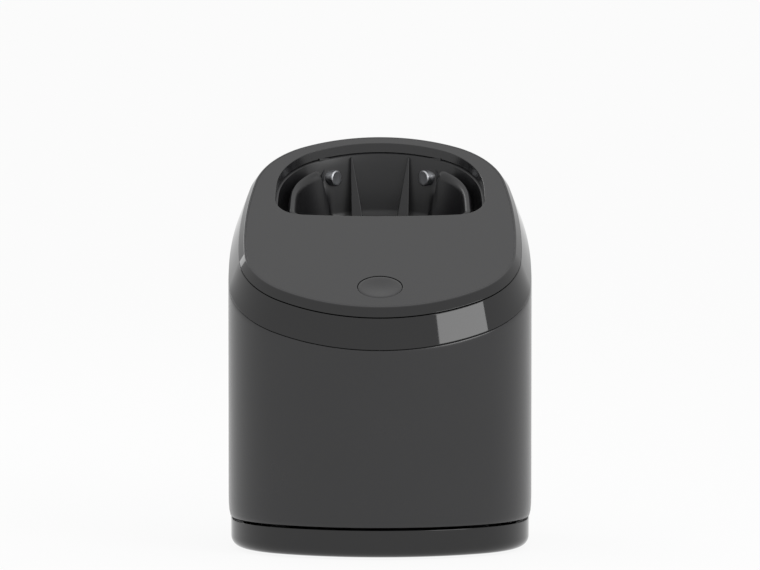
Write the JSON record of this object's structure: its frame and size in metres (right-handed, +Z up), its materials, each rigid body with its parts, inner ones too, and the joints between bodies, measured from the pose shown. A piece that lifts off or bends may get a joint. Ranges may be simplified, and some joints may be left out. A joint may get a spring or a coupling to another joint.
{
  "type": "shaver cleaning station",
  "caption": "Desktop cleaning station for a shaver: egg-shaped housing with a sloping top, a deep well with sprung contacts and a push button, over a base that holds a fluid cartridge.",
  "frame": {"origin": "on the ground, under the middle of the body's bounding box", "axes": "+Z up, front with the start button towards -Y, +X to the right seen from the front"},
  "size_m": [0.112, 0.121, 0.1461],
  "materials": {
    "satin_shell": "satin, moulded in charcoal",
    "gloss_black": "high gloss",
    "satin_deck": "satin",
    "cradle_plastic": "satin",
    "dark_plastic": "fine matte",
    "rubber": "matte",
    "steel": "plain",
    "contact_metal": "satin nickel",
    "brass": "plain",
    "light_plastic": "plain",
    "circuit_board": "solder mask",
    "lead_cover": "plain",
    "cartridge_plastic": "satin",
    "cartridge_lid": "satin",
    "fluid": "clear fluid"
  },
  "bodies": {
    "base": {"base_pan": "dark_plastic", "base_ring": "gloss_black", "rubber_feet": "rubber", "base_screws": "steel", "cartridge_bed": "dark_plastic", "guide_post_left": "steel", "guide_post_right": "steel", "lift_spring_left": "steel", "lift_spring_right": "steel"},
    "housing": {"outer_shell": "satin_shell", "collar_ring": "gloss_black", "deck_bezel": "gloss_black", "top_deck": "satin_deck", "cradle": "cradle_plastic", "drain_grille": "cradle_plastic", "drain_spout": "dark_plastic", "drain_seal": "rubber", "chassis_plate": "dark_plastic", "bush_left": "light_plastic", "bush_right": "light_plastic", "latch_clips": "steel", "housing_screws": "steel", "pump_housing": "light_plastic", "suction_seal": "rubber", "pump_motor": "steel", "delivery_hose": "rubber", "main_board": "circuit_board", "board_parts": "dark_plastic", "button_board": "circuit_board", "tact_switch": "light_plastic", "button_membrane": "rubber", "power_inlet": "dark_plastic", "inlet_pins": "brass", "inlet_leads": "lead_cover", "contact_springs": "brass", "contact_leads": "lead_cover", "release_springs": "steel"},
    "start_button": {"start_button": "gloss_black"},
    "contact_pin_left": {"contact_pin_left": "contact_metal"},
    "contact_pin_right": {"contact_pin_right": "contact_metal"},
    "pump_rotor": {"impeller": "light_plastic", "motor_shaft": "steel"},
    "release": {"lift_button": "dark_plastic", "release_slide": "dark_plastic"},
    "cartridge": {"cartridge_tub": "cartridge_plastic", "cartridge_top": "cartridge_lid", "cleaning_fluid": "fluid", "pickup_tube": "light_plastic"}
  },
  "joints": [
    {"name": "housing_lift", "type": "slide", "parent": "base", "child": "housing", "axis": [0, 0, 1], "range_m": [0, 0.026], "deforming": ["lift_spring_left", "lift_spring_right", "latch_clips"]},
    {"name": "start_press", "type": "slide", "parent": "housing", "child": "start_button", "axis": [0, 0.4384, -0.8988], "range_m": [0, 0.0008], "stiffness_N_per_m": 600},
    {"name": "pin_left_press", "type": "slide", "parent": "housing", "child": "contact_pin_left", "axis": [-0.7547, 0.6561, 0], "range_m": [0, 0.0012], "stiffness_N_per_m": 600, "deforming": ["contact_springs"]},
    {"name": "pin_right_press", "type": "slide", "parent": "housing", "child": "contact_pin_right", "axis": [0.7547, 0.6561, 0], "range_m": [0, 0.0012], "stiffness_N_per_m": 600},
    {"name": "pump_spin", "type": "hinge", "parent": "housing", "child": "pump_rotor", "pos_m": [0, -0.0135, 0.062], "axis": [0, 0, 1], "continuous": true},
    {"name": "lift_button_press", "type": "slide", "parent": "housing", "child": "release", "axis": [0, -1, 0], "range_m": [0, 0.003], "stiffness_N_per_m": 900, "deforming": ["release_springs"]},
    {"name": "cartridge_slide", "type": "slide", "parent": "base", "child": "cartridge", "axis": [0, 1, 0], "range_m": [0, 0.085]}
  ]
}
